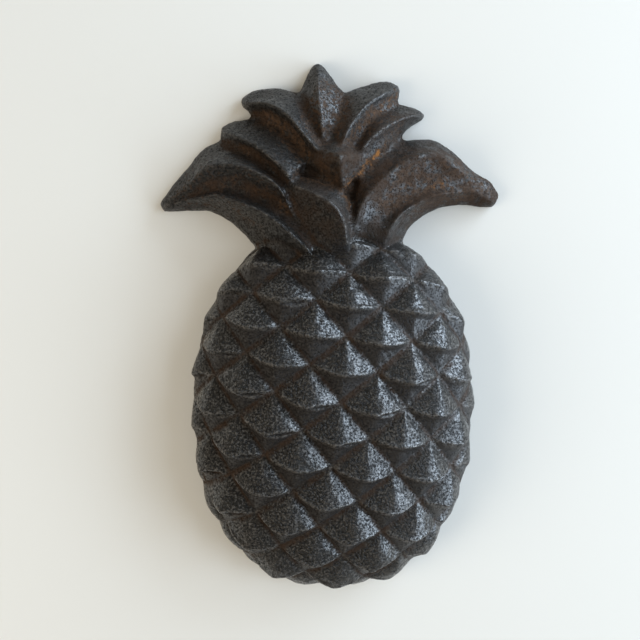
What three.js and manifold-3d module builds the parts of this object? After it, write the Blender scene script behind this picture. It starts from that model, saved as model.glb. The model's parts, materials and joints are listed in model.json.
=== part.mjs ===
// A cast iron pineapple in half relief: a domed fruit covered with diamond eyes, and a crown of
// curling leaves, poured as one casting with a flat rim all round and a hollow behind the fruit.
// It lies on its back. +Z is out of the relief, +Y is towards the crown. Millimetres.

import * as THREE from 'three';
import { mergeVertices } from 'three/addons/utils/BufferGeometryUtils.js';
import Module from 'manifold-3d';

// The fruit, measured at the bottom of the grooves from its widest point.
const FRUIT_HALF_WIDTH = 67.2;
const FRUIT_ABOVE = 85;
const FRUIT_BELOW = 89.6;
const FRUIT_DEPTH = 37;
const FRUIT_LEAN = THREE.MathUtils.degToRad(2.8);
const SHOULDER_FULLNESS = 2.2;
const FOOT_FULLNESS = 2.36;
const SECTION_FULLNESS = 2.25;
const WALL = 5;

// One eye, a diamond on the unrolled skin, and the turn of the whole net of eyes. An eye near the
// rim stands only RIM_EYE_SHARE as high as one on the crest. The shares and the sag are of the eye.
const EYE_WIDTH = 29.9;
const EYE_LENGTH = 29.5;
const EYE_HEIGHT = 7;
const EYE_DROP = 1.3;
const EYE_LEAN = 0.8;
const RIM_EYE_SHARE = 0.15;
const LIP_SHARE = 0.52;
const LIP_SAG = 0.03;
const EYE_OVERLAP = 0.14;
const EYE_ROOT = 6;
const EYE_ROOT_TAPER = 0.12;
const GROOVE_FILL = 0.8;
const NET_TURN = THREE.MathUtils.degToRad(-9.5);
const NET_START = new THREE.Vector2(-9.4, 22.7);
const ROW_SMILE = 0.001;
const COLUMN_BOW = -0.00075;

// The crown. Its leaf lines further down are drawn for a crown of DRAWN_HEIGHT.
const CROWN_HEIGHT = 85;
const DRAWN_HEIGHT = 85;
const NECK_SHARE = 0.917;
const LEAF_DRAFT = 1;
const HEART_DEPTH = 21;

// How finely the smooth forms are faceted, and how far they run down past the back, where one flat
// cut ends them all.
const LEAF_STATIONS = 14;
const FRUIT_FACETS = { around: 64, down: 12 };
const HEART_FACETS = { around: 32, down: 6 };
const HOLLOW_FACETS = { around: 40, down: 8 };
const SECTION_STEPS = 120;
const PAST_BACK = 2;
const WELD = 0.001;

const IRON = { color: 0x1d1c1c, roughness: 0.62, metalness: 0.55 };

const wasm = await Module();
wasm.setup();

// A closed solid of a list of points and a list of triangles, with its faces turned outwards.
function solid(points, triangles) {
  let volume = 0;
  for (const [a, b, c] of triangles) {
    volume += points[a].dot(new THREE.Vector3().crossVectors(points[b], points[c]));
  }
  const outward = volume > 0 ? triangles : triangles.map(([a, b, c]) => [a, c, b]);
  return new wasm.Manifold(new wasm.Mesh({
    numProp: 3,
    vertProperties: new Float32Array(points.flatMap((p) => p.toArray())),
    triVerts: new Uint32Array(outward.flat()),
  }));
}

// A solid through rings of equally many points, closed by a fan over each end.
function loft(rings) {
  const count = rings[0].length;
  const points = rings.flat();
  const triangles = [];
  for (let ring = 0; ring + 1 < rings.length; ring += 1) {
    for (let k = 0; k < count; k += 1) {
      const a = ring * count + k;
      const b = ring * count + ((k + 1) % count);
      triangles.push([a, b, b + count], [a, b + count, a + count]);
    }
  }
  for (const [ring, flip] of [[0, true], [rings.length - 1, false]]) {
    const middle = points.length;
    const centre = new THREE.Vector3();
    rings[ring].forEach((p) => centre.addScaledVector(p, 1 / count));
    points.push(centre);
    for (let k = 0; k < count; k += 1) {
      const a = ring * count + k;
      const b = ring * count + ((k + 1) % count);
      triangles.push(flip ? [middle, b, a] : [middle, a, b]);
    }
  }
  return solid(points, triangles);
}

// A dome stands on an egg-shaped outline, and its section is a superellipse.
const FRUIT = {
  x: 0,
  y: 0,
  halfWidth: FRUIT_HALF_WIDTH,
  above: FRUIT_ABOVE,
  below: FRUIT_BELOW,
  depth: FRUIT_DEPTH,
  lean: FRUIT_LEAN,
};

function inset(dome, by) {
  return {
    ...dome,
    halfWidth: dome.halfWidth - by,
    above: dome.above - by,
    below: dome.below - by,
    depth: dome.depth - by,
  };
}

function outlineRadius(dome, cos, sin) {
  const side = cos * Math.cos(dome.lean) - sin * Math.sin(dome.lean);
  const along = cos * Math.sin(dome.lean) + sin * Math.cos(dome.lean);
  const [reach, power] = along >= 0 ? [dome.above, SHOULDER_FULLNESS] : [dome.below, FOOT_FULLNESS];
  return (Math.abs(side / dome.halfWidth) ** power + Math.abs(along / reach) ** power) ** (-1 / power);
}

// The dome's section from its crest to its rim, as [distance from the axis, height].
function section(dome, radius, steps) {
  return Array.from({ length: steps + 1 }, (_, k) => {
    const angle = (k / steps) * (Math.PI / 2);
    return [
      radius * Math.sin(angle) ** (2 / SECTION_FULLNESS),
      dome.depth * Math.max(0, Math.cos(angle)) ** (2 / SECTION_FULLNESS),
    ];
  });
}

// The point of the skin at p, q of the net laid over the dome from its crest. Past the rim the
// skin goes straight down.
function overDome(dome, p, q) {
  const distance = Math.hypot(p, q);
  if (distance === 0) return new THREE.Vector3(dome.x, dome.y, dome.depth);
  const [cos, sin] = [p / distance, q / distance];
  const line = section(dome, outlineRadius(dome, cos, sin), SECTION_STEPS);
  let walked = 0;
  for (let k = 1; k < line.length; k += 1) {
    const step = Math.hypot(line[k][0] - line[k - 1][0], line[k][1] - line[k - 1][1]);
    if (walked + step >= distance) {
      const t = (distance - walked) / step;
      const out = THREE.MathUtils.lerp(line[k - 1][0], line[k][0], t);
      const up = THREE.MathUtils.lerp(line[k - 1][1], line[k][1], t);
      return new THREE.Vector3(dome.x + out * cos, dome.y + out * sin, up);
    }
    walked += step;
  }
  const rim = line[line.length - 1][0];
  return new THREE.Vector3(dome.x + rim * cos, dome.y + rim * sin, walked - distance);
}

function skinNormal(dome, p, q) {
  const reach = 0.5;
  const across = overDome(dome, p + reach, q).sub(overDome(dome, p - reach, q));
  const along = overDome(dome, p, q + reach).sub(overDome(dome, p, q - reach));
  return across.cross(along).normalize();
}

function domeSolid(dome, { around, down }) {
  const rings = [];
  for (let k = down; k >= 1; k -= 1) {
    rings.push(Array.from({ length: around }, (_, d) => {
      const angle = (d / around) * 2 * Math.PI;
      const [cos, sin] = [Math.cos(angle), Math.sin(angle)];
      const [out, up] = section(dome, outlineRadius(dome, cos, sin), down)[k];
      return new THREE.Vector3(dome.x + out * cos, dome.y + out * sin, up);
    }));
  }
  rings.unshift(rings[0].map((p) => p.clone().setZ(-PAST_BACK)));
  return loft(rings);
}

// The net of grooves. Corner i, j lies i steps down to the right and j steps up to the right.
function netPoint(i, j, right = 0, up = 0) {
  const turn = new THREE.Vector2();
  const across = new THREE.Vector2(EYE_WIDTH / 2, 0).rotateAround(turn, NET_TURN);
  const along = new THREE.Vector2(0, EYE_LENGTH / 2).rotateAround(turn, NET_TURN);
  const flat = NET_START.clone()
    .addScaledVector(across, i + j + right / (EYE_WIDTH / 2))
    .addScaledVector(along, j - i + up / (EYE_LENGTH / 2));
  return [flat.x + COLUMN_BOW * flat.y ** 2, flat.y + ROW_SMILE * flat.x ** 2];
}

// One eye: a low boss whose sagging lip runs from the left corner over the peak to the right one.
// Its faces run on past the grooves, so that neighbours meet in a clean V.
function eyeSolid(i, j) {
  const [left, bottom, right, top] = [[i, j], [i + 1, j], [i + 1, j + 1], [i, j + 1]].map(
    ([a, b]) => overDome(FRUIT, ...netPoint(a, b)),
  );
  const middle = netPoint(i + 0.5, j + 0.5, EYE_LEAN, -EYE_DROP);
  const normal = skinNormal(FRUIT, ...middle);
  const height = EYE_HEIGHT * (RIM_EYE_SHARE + (1 - RIM_EYE_SHARE) * Math.max(0, normal.z));
  const peak = overDome(FRUIT, ...middle).addScaledVector(normal, height);
  const [leftLip, rightLip] = [left, right].map((corner) => {
    const halfway = corner.clone().lerp(peak, 0.5);
    const sag = bottom.clone().sub(top).multiplyScalar(LIP_SAG);
    return halfway.add(sag).addScaledVector(normal, height * (LIP_SHARE - 0.5));
  });
  const past = (corner, from) => corner.clone().addScaledVector(corner.clone().sub(from), EYE_OVERLAP);
  const brim = [past(left, leftLip), past(bottom, peak), past(right, rightLip), past(top, peak)];
  const root = brim.map((p) => p.clone().lerp(peak, EYE_ROOT_TAPER).addScaledVector(normal, -EYE_ROOT));
  const points = [...brim, ...root, peak, leftLip, rightLip];
  const [L, B, R, T, P, ML, MR] = [0, 1, 2, 3, 8, 9, 10];
  const triangles = [
    [T, L, ML], [T, ML, P], [T, P, MR], [T, MR, R],
    [B, ML, L], [B, P, ML], [B, MR, P], [B, R, MR],
    [4, 6, 5], [4, 7, 6],
  ];
  for (let k = 0; k < 4; k += 1) {
    const next = (k + 1) % 4;
    triangles.push([k, k + 4, next + 4], [k, next + 4, next]);
  }
  return { made: solid(points, triangles), top: Math.max(peak.z, top.z, left.z, right.z, bottom.z) };
}

// Leaves. A leaf is a set of lines from its root to its tip, side by side across it: its edge, its
// crests and channels, and its other edge, each point [right, up, out] of the neck. cups says how
// far the face between two lines is hollowed.
const LEAVES = [
  { // upright leaf in the middle
    cups: [0.6, 0.6],
    lines: [
      [[-0.5, 44, 19], [-6.5, 56.5, 15], [-10, 69, 8], [-7.8, 77, 5], [-3, 85, 5]],
      [[-1, 45, 22], [-1.5, 56, 21], [-2, 67, 18], [-2, 82.5, 8]],
      [[3.5, 44.5, 19], [7, 56, 15], [10, 68.5, 8], [4.8, 77, 5], [-0.5, 85, 5]],
    ],
  },
  { // upper left
    cups: [0.6, 1.2],
    lines: [
      [[-1, 43.5, 20], [-5.5, 56.5, 15], [-11, 70.3, 6.5], [-25, 73.3, 5], [-32.5, 73, 5], [-39.5, 68.5, 5]],
      [[-3, 40, 27], [-8.5, 47, 25.5], [-15, 55, 23], [-24, 62.5, 19], [-37.5, 66.5, 9]],
      [[-8, 37, 19], [-12, 45, 17], [-17.5, 51.5, 15], [-24.5, 56, 11], [-31.5, 60, 6], [-38.5, 66, 5]],
    ],
  },
  { // second left
    cups: [0.6, 1],
    lines: [
      [[-8, 37, 20], [-12, 44.5, 17], [-18, 51.5, 14], [-25.5, 56.5, 10], [-34, 58.3, 6], [-42, 58.3, 5],
        [-49.5, 55.5, 5]],
      [[-16.5, 28, 30], [-20, 33, 28], [-26.5, 39.5, 25], [-36, 46, 20], [-48.5, 53.5, 9]],
      [[-18, 25.5, 21], [-23, 32, 19], [-28.5, 37, 17], [-37.5, 42.5, 13], [-46, 47.5, 7], [-49.5, 52, 5]],
    ],
  },
  { // big left, with two crests
    cups: [0.5, 1, 0.3, 0.8],
    lines: [
      [[-18, 25.5, 22], [-28.5, 37, 17], [-37.5, 42.5, 13], [-49, 48.7, 6.5], [-58, 45.7, 5], [-66, 36.8, 5],
        [-72.8, 29.3, 5], [-80.5, 21, 5]],
      [[-19, 21, 29], [-24.5, 28, 27.5], [-33.5, 33, 25], [-46, 36, 22], [-55.5, 35, 19], [-63, 28.5, 14],
        [-77, 19.5, 8]],
      [[-8, -4, 21], [-18.5, 12.5, 21.5], [-28, 19.5, 18], [-38.5, 24, 16], [-49.5, 26, 14.5],
        [-60.5, 23.5, 11], [-77.3, 18.5, 7]],
      [[-3, -12, 22], [-6.5, -6, 28.5], [-14.5, 0.5, 28.5], [-22.5, 9, 27.5], [-34.5, 16, 25],
        [-46, 20.5, 21], [-60.5, 22.5, 15], [-77, 17.5, 8]],
      [[-11, -14, 19], [-24.5, -7.5, 15], [-34.5, -1, 6], [-43.5, 9.2, 5], [-51.5, 15, 5], [-60, 17, 5],
        [-78.5, 17, 5]],
    ],
  },
  { // upper right
    cups: [0.4, 1.6],
    lines: [
      [[3, 43.5, 20], [7, 56, 15], [11.5, 69.8, 6.5], [17, 72, 5], [27, 74.5, 5], [34, 74, 5], [37.3, 72, 5]],
      [[7.5, 42, 27], [10.5, 48.5, 25.5], [15, 55, 23], [21.5, 62, 19.5], [28.5, 66.5, 16], [36.5, 69.5, 9]],
      [[13.5, 39.5, 21], [18, 47.5, 18], [23, 54.5, 15.5], [30, 60, 11], [34.5, 64, 6], [37, 68, 5]],
    ],
  },
  { // second right
    cups: [0.4, 1],
    lines: [
      [[13.5, 39.5, 21], [18, 47.5, 18], [23, 54.5, 15.5], [30, 59.5, 11], [36.5, 63, 6], [43.5, 62.3, 5],
        [49, 59, 5]],
      [[16.5, 40, 28], [21, 45, 26.5], [25.5, 48.5, 25], [31.5, 52, 21], [39, 55.5, 16], [47, 56.5, 10]],
      [[21.5, 35.5, 22], [24.5, 39.5, 20], [29.5, 43, 17], [36.5, 48.8, 8], [42, 54, 5], [48, 56.5, 5]],
    ],
  },
  { // big right, with two crests
    cups: [0.5, 1.4, 0.2, 0.8],
    lines: [
      [[11, 2, 17], [12, 10, 23], [13, 19, 24], [18, 31.5, 21], [28, 40.5, 16], [38.5, 45.8, 8], [52, 46.5, 5],
        [63, 39, 5], [71.5, 30.5, 5], [79.5, 26, 5], [84, 18.5, 5]],
      [[12.5, -8, 15], [12, 6, 28.5], [16, 16.5, 29.5], [23, 24, 28], [30.5, 30.5, 26], [39, 35.5, 24],
        [49, 37.5, 21], [58.5, 34, 17.5], [67, 27, 12], [79.5, 16.5, 8]],
      [[19.5, -9, 14], [23, 4, 24.5], [28, 10, 22], [34.5, 15.5, 19.5], [43, 19.5, 17.5], [53.5, 23, 15],
        [67.5, 23, 11], [80, 15, 7]],
      [[24.5, -10, 13], [28.5, 3, 25], [32, 9, 26.5], [38.5, 14, 24], [47, 17.5, 21], [57.5, 20, 17],
        [69, 21, 12], [79.5, 14, 8]],
      [[34, -10, 8], [36.8, 1, 6], [41, 6.7, 5], [54.5, 14.2, 5], [67, 15.7, 5], [75.5, 13.8, 5],
        [81.5, 14, 5]],
    ],
  },
  { // front left, folded over the middle of the neck
    cups: [0.2, 0.4],
    lines: [
      [[12, -9, 18], [11.5, 1, 25], [11, 10, 26], [9, 19, 25], [-1.5, 27, 24], [-15.5, 30.5, 22]],
      [[9.5, -11, 20], [9, -1, 30.5], [8, 6, 35], [4.5, 12.5, 36], [-1.5, 18.5, 35], [-10, 22.5, 32],
        [-17.5, 26, 26]],
      [[3, -14, 18], [-3, -6, 25], [-10, 1.5, 24], [-15.5, 10.5, 22], [-19.5, 20, 21], [-19.5, 24.5, 21]],
    ],
  },
];

// The bud in the middle of the crown: its corners from the left one through the bottom, then its peak.
const BUD = [
  [-7.5, 34.5, 22], [8, 22, 26], [19.5, 35.5, 24], [13, 42, 23], [3.5, 44.5, 22], [-3.5, 41.5, 22],
  [6, 35.5, 37],
];
const BUD_SHARPNESS = 0.94;
const HEART = { x: 2, y: 22, halfWidth: 30, above: 33, below: 40, lean: 0 };

const crownScale = CROWN_HEIGHT / DRAWN_HEIGHT;
const neck = new THREE.Vector3(0, FRUIT_ABOVE * NECK_SHARE, 0);

function fromNeck([right, up, out]) {
  return new THREE.Vector3(right, up, out).multiplyScalar(crownScale).add(neck);
}

function leafSolid({ lines, cups }) {
  const rails = lines.map((line) => new THREE.CatmullRomCurve3(line.map(fromNeck), false, 'centripetal')
    .getSpacedPoints(LEAF_STATIONS));
  const rings = rails[0].map((_, station) => {
    const across = rails.map((rail) => rail[station]);
    const top = across.flatMap((point, k) => {
      if (k === across.length - 1) return [point];
      const hollow = point.clone().lerp(across[k + 1], 0.5);
      hollow.z -= cups[k] * Math.min(1, 4 * (1 - station / LEAF_STATIONS));
      return [point, hollow];
    });
    const skirt = [top[top.length - 1], top[0]].map((edge, k) => {
      const inner = k === 0 ? top[top.length - 2] : top[1];
      const out = new THREE.Vector3(edge.x - inner.x, edge.y - inner.y, 0).setLength(LEAF_DRAFT);
      return edge.clone().add(out).setZ(-PAST_BACK);
    });
    return [...top, ...skirt];
  });
  return loft(rings);
}

function budSolid() {
  const corners = BUD.map(fromNeck);
  const peak = corners.pop();
  const foot = corners.map((p) => p.clone().setZ(-PAST_BACK));
  const blunt = corners.map((p) => p.clone().lerp(peak, BUD_SHARPNESS));
  return loft([foot, corners, blunt]);
}

// The iron under the eyes: just below the grooves over the dome, and just above them at the rim,
// where they run out.
function grooveBed() {
  const wide = inset(FRUIT, -GROOVE_FILL);
  return { ...wide, depth: FRUIT_DEPTH - 2 * GROOVE_FILL };
}

function castingGeometry() {
  const heart = { ...HEART, y: neck.y + HEART.y, depth: HEART_DEPTH };
  let iron = domeSolid(grooveBed(), FRUIT_FACETS).add(domeSolid(heart, HEART_FACETS));
  const reach = Math.ceil((FRUIT_ABOVE + FRUIT_DEPTH) / (Math.min(EYE_WIDTH, EYE_LENGTH) / 2));
  for (let i = -reach; i <= reach; i += 1) {
    for (let j = -reach; j <= reach; j += 1) {
      const [p, q] = netPoint(i + 0.5, j + 0.5);
      if (overDome(FRUIT, p, q).z < -EYE_LENGTH / 2) continue;
      const eye = eyeSolid(i, j);
      if (eye.top > 0) iron = iron.add(eye.made);
    }
  }
  LEAVES.forEach((leaf) => { iron = iron.add(leafSolid(leaf)); });
  iron = iron.add(budSolid());
  const span = 2 * (FRUIT_ABOVE + FRUIT_BELOW + CROWN_HEIGHT);
  const bench = [[-span, -span], [span, -span], [span, span], [-span, span]];
  const below = loft([-span, 0].map((z) => bench.map(([x, y]) => new THREE.Vector3(x, y, z))));
  iron = iron.subtract(below).subtract(domeSolid(inset(FRUIT, WALL), HOLLOW_FACETS));
  const mesh = iron.getMesh();
  const geometry = new THREE.BufferGeometry();
  geometry.setAttribute('position', new THREE.BufferAttribute(mesh.vertProperties, 3));
  geometry.setIndex(new THREE.BufferAttribute(mesh.triVerts, 1));
  const merged = mergeVertices(geometry, WELD);
  merged.computeBoundingBox();
  const middle = merged.boundingBox.getCenter(new THREE.Vector3());
  return merged.translate(-middle.x, -middle.y, -merged.boundingBox.min.z);
}

const ornament = new THREE.Group();
const casting = new THREE.Mesh(castingGeometry(), new THREE.MeshStandardMaterial(IRON));
casting.name = 'pineapple_casting';
ornament.add(casting);

export default ornament;
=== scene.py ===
"""A cast iron pineapple in half relief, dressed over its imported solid.

The casting lies on its back on a pale floor, +Z out of the relief and +Y towards
the crown, and the camera looks down on it. Everything is in metres, apart from
the places of the stains and the fruit's own sizes, which are in millimetres.
"""

import json
import logging
import math
from dataclasses import dataclass, field
from enum import Enum
from typing import Any

import bpy
import numpy as np
from mathutils import Matrix, Vector, kdtree, noise

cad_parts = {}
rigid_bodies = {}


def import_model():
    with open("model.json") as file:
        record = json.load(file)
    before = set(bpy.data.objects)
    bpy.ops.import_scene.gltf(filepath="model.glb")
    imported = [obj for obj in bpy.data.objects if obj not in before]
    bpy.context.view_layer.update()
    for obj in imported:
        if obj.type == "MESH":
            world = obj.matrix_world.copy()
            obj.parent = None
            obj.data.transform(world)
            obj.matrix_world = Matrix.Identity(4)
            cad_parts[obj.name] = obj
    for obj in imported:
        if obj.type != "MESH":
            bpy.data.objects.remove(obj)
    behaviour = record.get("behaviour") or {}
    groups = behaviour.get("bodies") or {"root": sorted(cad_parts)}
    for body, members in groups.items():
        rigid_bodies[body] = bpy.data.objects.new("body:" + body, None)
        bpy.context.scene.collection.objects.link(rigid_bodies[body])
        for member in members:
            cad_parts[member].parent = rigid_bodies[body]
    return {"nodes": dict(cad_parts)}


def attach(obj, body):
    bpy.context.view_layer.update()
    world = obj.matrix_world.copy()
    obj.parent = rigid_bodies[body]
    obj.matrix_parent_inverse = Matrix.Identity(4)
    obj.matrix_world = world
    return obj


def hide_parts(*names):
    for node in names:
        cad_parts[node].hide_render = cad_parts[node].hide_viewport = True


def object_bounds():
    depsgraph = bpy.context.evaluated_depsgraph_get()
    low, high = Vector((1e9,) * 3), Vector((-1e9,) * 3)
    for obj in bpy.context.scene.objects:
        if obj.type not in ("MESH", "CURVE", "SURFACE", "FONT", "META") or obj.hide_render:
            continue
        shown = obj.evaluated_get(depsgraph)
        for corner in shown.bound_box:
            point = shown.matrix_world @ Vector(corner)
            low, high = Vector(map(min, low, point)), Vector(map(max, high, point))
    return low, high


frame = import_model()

CAD_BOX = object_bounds()
MM = 0.001
TINY = 1e-9
SMOOTHING = 0.5
LEAST_WEIGHT = 0.02
NOISE_ROUGHNESS = 0.55
CHANCE_DOWN, CHANCE_ASIDE, CHANCE_SCALE = 12.9898, 78.233, 43758.5453

Colour = tuple[float, float, float]
Place = tuple[float, float, float]
Span = tuple[float, float]

log = logging.getLogger("pineapple")


class Layer(Enum):
    """The masks at the casting's points: 0 for none, 1 for full, and a little more for thick dirt."""

    GROOVE = "groove"
    CREST = "crest"
    RUST = "rust"
    SAND = "sand"


def select_only(obj: bpy.types.Object) -> None:
    """Makes one object the active one and the only one selected.

    Args:
        obj: The object to work on.
    """
    bpy.ops.object.select_all(action="DESELECT")
    obj.select_set(True)
    bpy.context.view_layer.objects.active = obj


def apply_modifier(obj: bpy.types.Object, kind: str, **settings: Any) -> None:
    """Adds a modifier to an object and applies it.

    Args:
        obj: The object to shape.
        kind: Blender's name of the modifier.
        settings: The modifier's own values.
    """
    select_only(obj)
    modifier = obj.modifiers.new(kind.lower(), kind)
    for name, value in settings.items():
        setattr(modifier, name, value)
    bpy.ops.object.modifier_apply(modifier=modifier.name)


def points_of(mesh: bpy.types.Mesh) -> np.ndarray:
    """Reads the places of a mesh's points.

    Args:
        mesh: The mesh to read.

    Returns:
        One row for each point.
    """
    flat = np.empty(len(mesh.vertices) * 3)
    mesh.vertices.foreach_get("co", flat)
    return flat.reshape(-1, 3)


def move_points(mesh: bpy.types.Mesh, places: np.ndarray) -> None:
    """Puts a mesh's points at new places.

    Args:
        mesh: The mesh to change.
        places: One row for each point.
    """
    mesh.vertices.foreach_set("co", places.ravel())
    mesh.update()


def normals_of(mesh: bpy.types.Mesh) -> np.ndarray:
    """Reads the unit normals at a mesh's points.

    Args:
        mesh: The mesh to read.

    Returns:
        One row for each point.
    """
    flat = np.empty(len(mesh.vertices) * 3)
    mesh.vertex_normals.foreach_get("vector", flat)
    return flat.reshape(-1, 3)


def smooth_step(value: np.ndarray, low: float, high: float) -> np.ndarray:
    """Maps numbers to 0 below low, 1 above high and a soft ramp between them.

    Args:
        value: The numbers to map.
        low: Where the ramp starts.
        high: Where the ramp ends.

    Returns:
        The mapped numbers.
    """
    share = np.clip((value - low) / (high - low), 0.0, 1.0)
    return share * share * (3.0 - 2.0 * share)


def nearest_rows(rows: np.ndarray, targets: np.ndarray) -> np.ndarray:
    """Finds the row nearest to each target.

    Args:
        rows: Rows of x, y, z.
        targets: Rows of x, y, z.

    Returns:
        For each target the number of its nearest row.
    """
    tree = kdtree.KDTree(len(rows))
    for k, row in enumerate(rows):
        tree.insert(row, k)
    tree.balance()
    return np.array([tree.find(target)[1] for target in targets])


class Neighbours:
    """Averages over the points that a mesh's edges join."""

    def __init__(self, mesh: bpy.types.Mesh) -> None:
        """Reads the edges once.

        Args:
            mesh: The mesh to average over.
        """
        pairs = np.empty(len(mesh.edges) * 2, np.int64)
        mesh.edges.foreach_get("vertices", pairs)
        self.first, self.second = pairs.reshape(-1, 2).T
        self.count = len(mesh.vertices)
        ends = np.concatenate([self.first, self.second])
        self.valence = np.maximum(np.bincount(ends, minlength=self.count), 1)

    def mean(self, values: np.ndarray) -> np.ndarray:
        """Takes for each point the mean of its neighbours' values.

        Args:
            values: One row for each point.

        Returns:
            The means, in rows of the same length.
        """
        columns = []
        for column in values.T:
            total = np.bincount(self.first, column[self.second], self.count)
            total += np.bincount(self.second, column[self.first], self.count)
            columns.append(total / self.valence)
        return np.stack(columns, axis=1)

    def smoothed(self, values: np.ndarray, rounds: int, share: float = 0.6) -> np.ndarray:
        """Moves the values towards their neighbours' mean, round by round.

        Args:
            values: One row for each point.
            rounds: How many times they move.
            share: How far they move each time, from 0 to 1.

        Returns:
            The smoothed rows.
        """
        for _ in range(rounds):
            values = values + share * (self.mean(values) - values)
        return values


@dataclass(frozen=True)
class Stain:
    """Rust or brown dirt along a short line on the casting, in millimetres.

    Attributes:
        start: Where the line starts.
        end: Where the line ends.
        reach: How far from the line the last trace lies.
        strength: How full the mask is on the line.
        core: The share of the reach in which the mask keeps its strength.
    """

    start: Place
    end: Place
    reach: float
    strength: float
    core: float = 0.2

    def mask(self, places: np.ndarray) -> np.ndarray:
        """Tells how stained each place is.

        Args:
            places: Rows of x, y, z, in millimetres.

        Returns:
            One number for each row, from 0 to the stain's strength.
        """
        start, end = np.array(self.start), np.array(self.end)
        along = end - start
        share = np.clip((places - start) @ along / max(float(along @ along), TINY), 0.0, 1.0)
        distance = np.linalg.norm(places - start - share[:, None] * along, axis=1)
        return self.strength * (1.0 - smooth_step(distance, self.core * self.reach, self.reach))


CROWN_RUST: tuple[Stain, ...] = (
    Stain((20.6, 78.6, 20.5), (22.6, 80.6, 19.5), 3.4, 0.95),
    Stain((17.0, 75.0, 22.0), (25.5, 83.5, 18.0), 4.5, 0.66),
    Stain((8.0, 57.1, 24.0), (8.5, 69.0, 24.0), 6.5, 0.72),
    Stain((8.5, 69.0, 24.0), (17.8, 75.9, 22.0), 6.0, 0.75),
    Stain((-13.2, 72.5, 26.0), (6.0, 63.9, 25.0), 5.5, 0.55),
    Stain((32.9, 108.0, 8.0), (20.7, 98.3, 17.0), 6.0, 0.62),
    Stain((20.7, 98.3, 17.0), (10.0, 86.5, 22.0), 6.0, 0.6),
    Stain((32.1, 57.5, 20.0), (46.5, 64.6, 17.0), 5.0, 0.5),
    Stain((46.5, 64.6, 17.0), (56.3, 66.0, 14.0), 4.0, 0.66),
    Stain((35.5, 49.4, 8.0), (41.9, 56.3, 8.0), 6.0, 0.5),
    Stain((8.6, 104.3, 12.0), (5.6, 89.6, 18.0), 7.0, 0.55),
    Stain((-11.6, 80.8, 20.0), (-26.5, 99.5, 12.0), 7.0, 0.55),
    Stain((-20.3, 72.4, 17.0), (-36.6, 74.6, 15.0), 7.0, 0.5),
    Stain((-18.2, 67.8, 17.0), (-21.6, 57.0, 22.0), 6.0, 0.5),
    Stain((-45.0, 62.0, 14.0), (-30.0, 52.0, 14.0), 8.0, 0.42),
    Stain((-36.0, 84.0, 12.0), (-20.0, 84.0, 16.0), 7.0, 0.45),
    Stain((66.0, 66.0, 8.0), (76.0, 64.0, 8.0), 7.0, 0.48),
    Stain((34.0, 68.0, 18.0), (68.0, 70.0, 12.0), 18.0, 0.42),
    Stain((-62.0, 66.0, 12.0), (-20.0, 70.0, 14.0), 26.0, 0.22),
    Stain((-8.0, 92.0, 16.0), (4.0, 110.0, 12.0), 14.0, 0.42),
    Stain((24.0, 58.0, 20.0), (36.0, 74.0, 18.0), 11.0, 0.48),
    Stain((38.0, 56.0, 14.0), (64.0, 62.0, 10.0), 10.0, 0.5),
    Stain((2.0, 74.0, 24.0), (10.0, 82.0, 22.0), 9.0, 0.46),
    Stain((16.0, 88.0, 18.0), (30.0, 93.0, 14.0), 10.0, 0.45),
    Stain((2.0, 96.0, 18.0), (-4.0, 86.0, 20.0), 9.0, 0.4),
)

CROWN_DIRT: tuple[Stain, ...] = (
    Stain((28.0, 66.0, 22.0), (72.0, 68.0, 7.0), 34.0, 1.25),
    Stain((26.0, 50.0, 22.0), (40.0, 62.0, 18.0), 12.0, 0.8),
    Stain((-1.0, 74.0, 31.0), (9.0, 76.0, 32.0), 18.0, 1.25),
    Stain((5.0, 84.0, 22.0), (4.0, 110.0, 12.5), 12.0, 0.9),
    Stain((16.0, 84.0, 25.0), (34.0, 100.0, 12.0), 12.0, 0.6),
    Stain((-12.0, 58.0, 27.0), (0.0, 50.0, 32.0), 14.0, 0.5),
)


@dataclass(frozen=True)
class SkinPlaces:
    """Where points lie on the fruit: above its skin, and inside their own eye.

    Attributes:
        height: How far each point stands above the uncarved skin, in millimetres.
        normal: The skin's unit normal under each point.
        right: From -1 at the left corner of the point's eye to 1 at the right one.
        up: From -1 at the bottom corner of the point's eye to 1 at the top one.
        chance: From -1 to 1, another number for each eye.
    """

    height: np.ndarray
    normal: np.ndarray
    right: np.ndarray
    up: np.ndarray
    chance: np.ndarray


@dataclass(frozen=True)
class EyeMarks:
    """Masks over the eyes, one number from 0 to 1 for each point.

    Attributes:
        eyed: Whether the point lies on the eyes at all.
        net: How close it is to the net of grooves between them, widened over the left of the upper faces,
            where the dirt is also a painted brown shade.
        lip: How close it is to its eye's lip.
        above: Whether it lies above the lip.
    """

    eyed: np.ndarray
    net: np.ndarray
    lip: np.ndarray
    above: np.ndarray


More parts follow.
